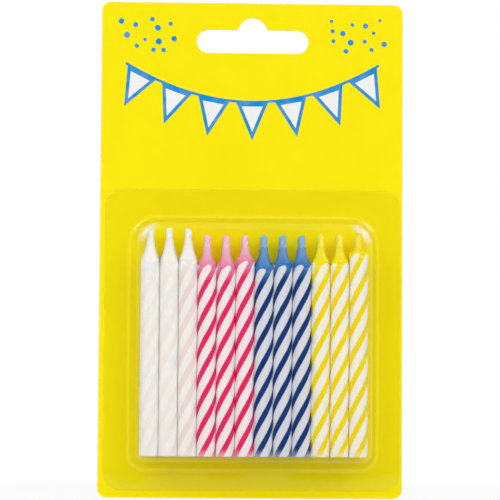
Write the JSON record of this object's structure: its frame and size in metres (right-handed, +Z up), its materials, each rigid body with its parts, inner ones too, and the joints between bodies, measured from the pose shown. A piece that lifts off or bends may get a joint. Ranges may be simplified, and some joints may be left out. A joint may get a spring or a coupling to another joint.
{
  "type": "carded pack of spiral birthday candles",
  "caption": "Hang-sell card with a clear formed tray of spiral-ribbed birthday candles in white, pink, blue and yellow, loose in two rows",
  "frame": {"origin": "crown of the hang slot at the card's back face, where a display peg bears", "axes": "+Z up along the card, +Y out of the card's back, +X to the right seen from the front"},
  "size_m": [0.081, 0.0113, 0.1326],
  "materials": {
    "printed_card": "coated paperboard, printed yellow in front and white behind",
    "clear_sheet": "clear thermoformed sheet",
    "wick_cotton": "braided cotton soaked in wax",
    "white_wax": "paraffin wax, satin",
    "pink_wax": "paraffin wax, satin",
    "blue_wax": "paraffin wax, satin",
    "yellow_wax": "paraffin wax, satin"
  },
  "bodies": {
    "pack": {"backing_card": "printed_card", "blister": "clear_sheet"},
    "white_candle_1": {"white_candle_1_wax": "white_wax", "white_candle_1_wick": "wick_cotton"},
    "white_candle_2": {"white_candle_2_wax": "white_wax", "white_candle_2_wick": "wick_cotton"},
    "white_candle_3": {"white_candle_3_wax": "white_wax", "white_candle_3_wick": "wick_cotton"},
    "white_candle_4": {"white_candle_4_wax": "white_wax", "white_candle_4_wick": "wick_cotton"},
    "white_candle_5": {"white_candle_5_wax": "white_wax", "white_candle_5_wick": "wick_cotton"},
    "white_candle_6": {"white_candle_6_wax": "white_wax", "white_candle_6_wick": "wick_cotton"},
    "pink_candle_1": {"pink_candle_1_wax": "pink_wax", "pink_candle_1_wick": "wick_cotton"},
    "pink_candle_2": {"pink_candle_2_wax": "pink_wax", "pink_candle_2_wick": "wick_cotton"},
    "pink_candle_3": {"pink_candle_3_wax": "pink_wax", "pink_candle_3_wick": "wick_cotton"},
    "pink_candle_4": {"pink_candle_4_wax": "pink_wax", "pink_candle_4_wick": "wick_cotton"},
    "pink_candle_5": {"pink_candle_5_wax": "pink_wax", "pink_candle_5_wick": "wick_cotton"},
    "pink_candle_6": {"pink_candle_6_wax": "pink_wax", "pink_candle_6_wick": "wick_cotton"},
    "blue_candle_1": {"blue_candle_1_wax": "blue_wax", "blue_candle_1_wick": "wick_cotton"},
    "blue_candle_2": {"blue_candle_2_wax": "blue_wax", "blue_candle_2_wick": "wick_cotton"},
    "blue_candle_3": {"blue_candle_3_wax": "blue_wax", "blue_candle_3_wick": "wick_cotton"},
    "blue_candle_4": {"blue_candle_4_wax": "blue_wax", "blue_candle_4_wick": "wick_cotton"},
    "blue_candle_5": {"blue_candle_5_wax": "blue_wax", "blue_candle_5_wick": "wick_cotton"},
    "blue_candle_6": {"blue_candle_6_wax": "blue_wax", "blue_candle_6_wick": "wick_cotton"},
    "yellow_candle_1": {"yellow_candle_1_wax": "yellow_wax", "yellow_candle_1_wick": "wick_cotton"},
    "yellow_candle_2": {"yellow_candle_2_wax": "yellow_wax", "yellow_candle_2_wick": "wick_cotton"},
    "yellow_candle_3": {"yellow_candle_3_wax": "yellow_wax", "yellow_candle_3_wick": "wick_cotton"},
    "yellow_candle_4": {"yellow_candle_4_wax": "yellow_wax", "yellow_candle_4_wick": "wick_cotton"},
    "yellow_candle_5": {"yellow_candle_5_wax": "yellow_wax", "yellow_candle_5_wick": "wick_cotton"},
    "yellow_candle_6": {"yellow_candle_6_wax": "yellow_wax", "yellow_candle_6_wick": "wick_cotton"}
  },
  "joints": [
    {"name": "white_candle_1_slide", "type": "slide", "parent": "pack", "child": "white_candle_1", "axis": [0, 0, 1], "range_m": [-0.0004, 0.0003]},
    {"name": "white_candle_2_slide", "type": "slide", "parent": "pack", "child": "white_candle_2", "axis": [0, 0, 1], "range_m": [-0.0004, 0.001]},
    {"name": "white_candle_3_slide", "type": "slide", "parent": "pack", "child": "white_candle_3", "axis": [0, 0, 1], "range_m": [-0.0004, 0.001]},
    {"name": "white_candle_4_slide", "type": "slide", "parent": "pack", "child": "white_candle_4", "axis": [0, 0, 1], "range_m": [-0.0018, 0.0014]},
    {"name": "white_candle_5_slide", "type": "slide", "parent": "pack", "child": "white_candle_5", "axis": [0, 0, 1], "range_m": [-0.0018, 0.002]},
    {"name": "white_candle_6_slide", "type": "slide", "parent": "pack", "child": "white_candle_6", "axis": [0, 0, 1], "range_m": [-0.0018, 0.002]},
    {"name": "pink_candle_1_slide", "type": "slide", "parent": "pack", "child": "pink_candle_1", "axis": [0, 0, 1], "range_m": [-0.0004, 0.0027]},
    {"name": "pink_candle_2_slide", "type": "slide", "parent": "pack", "child": "pink_candle_2", "axis": [0, 0, 1], "range_m": [-0.0004, 0.0027]},
    {"name": "pink_candle_3_slide", "type": "slide", "parent": "pack", "child": "pink_candle_3", "axis": [0, 0, 1], "range_m": [-0.0004, 0.0027]},
    {"name": "pink_candle_4_slide", "type": "slide", "parent": "pack", "child": "pink_candle_4", "axis": [0, 0, 1], "range_m": [-0.0018, 0.0037]},
    {"name": "pink_candle_5_slide", "type": "slide", "parent": "pack", "child": "pink_candle_5", "axis": [0, 0, 1], "range_m": [-0.0018, 0.0037]},
    {"name": "pink_candle_6_slide", "type": "slide", "parent": "pack", "child": "pink_candle_6", "axis": [0, 0, 1], "range_m": [-0.0018, 0.0037]},
    {"name": "blue_candle_1_slide", "type": "slide", "parent": "pack", "child": "blue_candle_1", "axis": [0, 0, 1], "range_m": [-0.0004, 0.0026]},
    {"name": "blue_candle_2_slide", "type": "slide", "parent": "pack", "child": "blue_candle_2", "axis": [0, 0, 1], "range_m": [-0.0004, 0.0026]},
    {"name": "blue_candle_3_slide", "type": "slide", "parent": "pack", "child": "blue_candle_3", "axis": [0, 0, 1], "range_m": [-0.0004, 0.0026]},
    {"name": "blue_candle_4_slide", "type": "slide", "parent": "pack", "child": "blue_candle_4", "axis": [0, 0, 1], "range_m": [-0.0018, 0.0036]},
    {"name": "blue_candle_5_slide", "type": "slide", "parent": "pack", "child": "blue_candle_5", "axis": [0, 0, 1], "range_m": [-0.0018, 0.0036]},
    {"name": "blue_candle_6_slide", "type": "slide", "parent": "pack", "child": "blue_candle_6", "axis": [0, 0, 1], "range_m": [-0.0018, 0.0036]},
    {"name": "yellow_candle_1_slide", "type": "slide", "parent": "pack", "child": "yellow_candle_1", "axis": [0, 0, 1], "range_m": [-0.0004, 0.0021]},
    {"name": "yellow_candle_2_slide", "type": "slide", "parent": "pack", "child": "yellow_candle_2", "axis": [0, 0, 1], "range_m": [-0.0004, 0.0021]},
    {"name": "yellow_candle_3_slide", "type": "slide", "parent": "pack", "child": "yellow_candle_3", "axis": [0, 0, 1], "range_m": [-0.0004, 0.0014]},
    {"name": "yellow_candle_4_slide", "type": "slide", "parent": "pack", "child": "yellow_candle_4", "axis": [0, 0, 1], "range_m": [-0.0018, 0.0031]},
    {"name": "yellow_candle_5_slide", "type": "slide", "parent": "pack", "child": "yellow_candle_5", "axis": [0, 0, 1], "range_m": [-0.0018, 0.0031]},
    {"name": "yellow_candle_6_slide", "type": "slide", "parent": "pack", "child": "yellow_candle_6", "axis": [0, 0, 1], "range_m": [-0.0018, 0.0025]}
  ]
}
